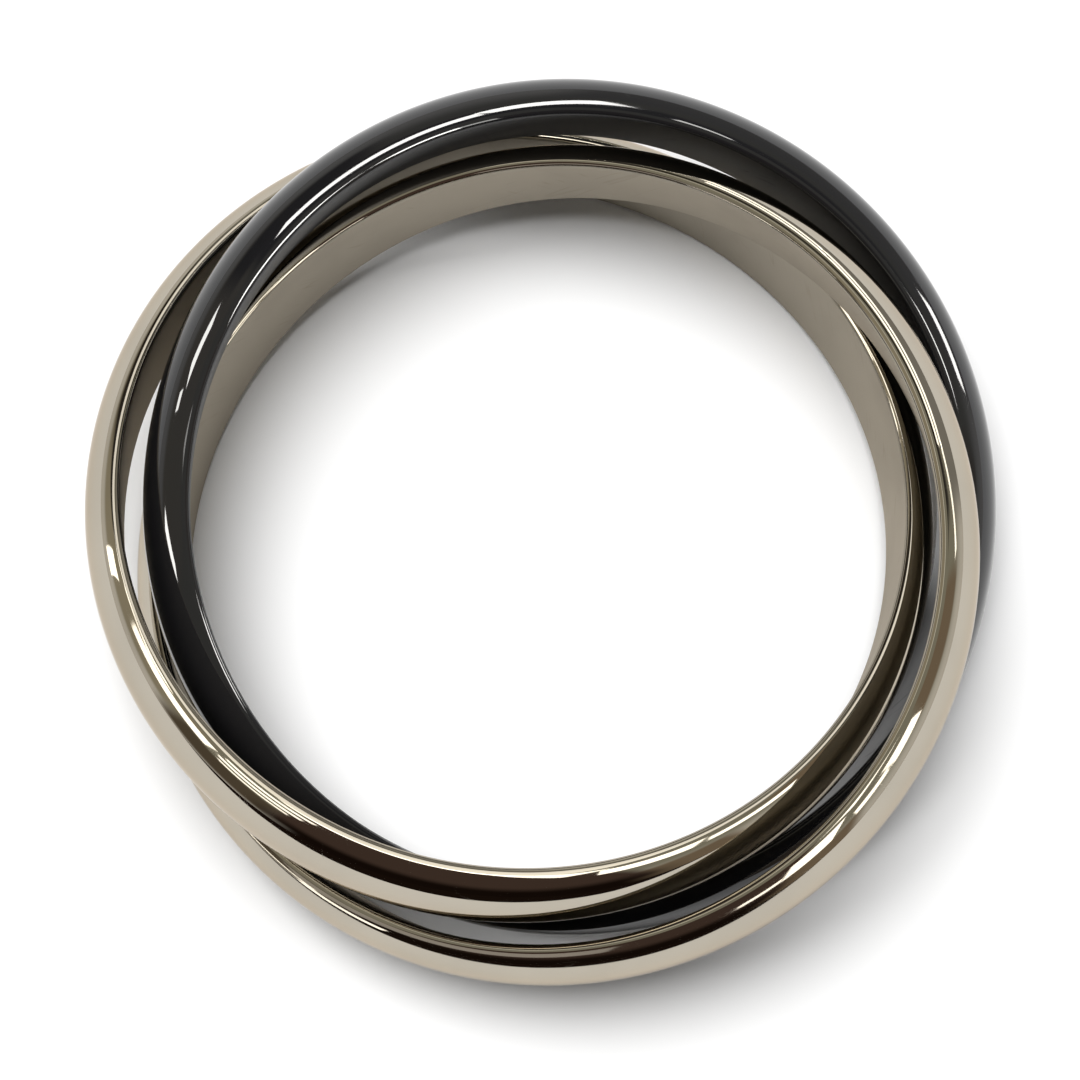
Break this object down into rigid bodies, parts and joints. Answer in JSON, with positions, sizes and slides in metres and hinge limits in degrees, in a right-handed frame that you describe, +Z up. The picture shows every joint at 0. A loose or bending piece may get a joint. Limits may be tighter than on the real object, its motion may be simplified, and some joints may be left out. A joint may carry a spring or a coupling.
{
  "type": "rolling ring",
  "caption": "Finger ring of linked round bands, black and silver-coloured, flat inside and domed outside, that turn and roll through one another.",
  "frame": {"origin": "middle of the outline, on the plane that the ring lies on", "axes": "+Z up through the finger hole; +X right and +Y away as the ring lies in the picture, seen from above the -Y side"},
  "size_m": [0.0236, 0.0234, 0.0066],
  "materials": {
    "black_gloss": "high polish black ceramic",
    "polished_silver_1": "mirror polish, warm grey silver colour",
    "polished_silver_2": "mirror polish, warm grey silver colour"
  },
  "bodies": {
    "black": {"black_band": "black_gloss"},
    "silver_1": {"silver_band_1": "polished_silver_1"},
    "silver_2": {"silver_band_2": "polished_silver_2"}
  },
  "joints": [
    {"name": "silver_1_turn", "type": "hinge", "parent": "black", "child": "silver_1", "pos_m": [-0.00085, 0.00063, 0.0033], "axis": [0.0786, 0.1648, 0.9832], "continuous": true},
    {"name": "silver_2_turn", "type": "hinge", "parent": "black", "child": "silver_2", "pos_m": [0.00012, -0.0007, 0.0033], "axis": [-0.1821, -0.0143, 0.9832], "continuous": true}
  ]
}
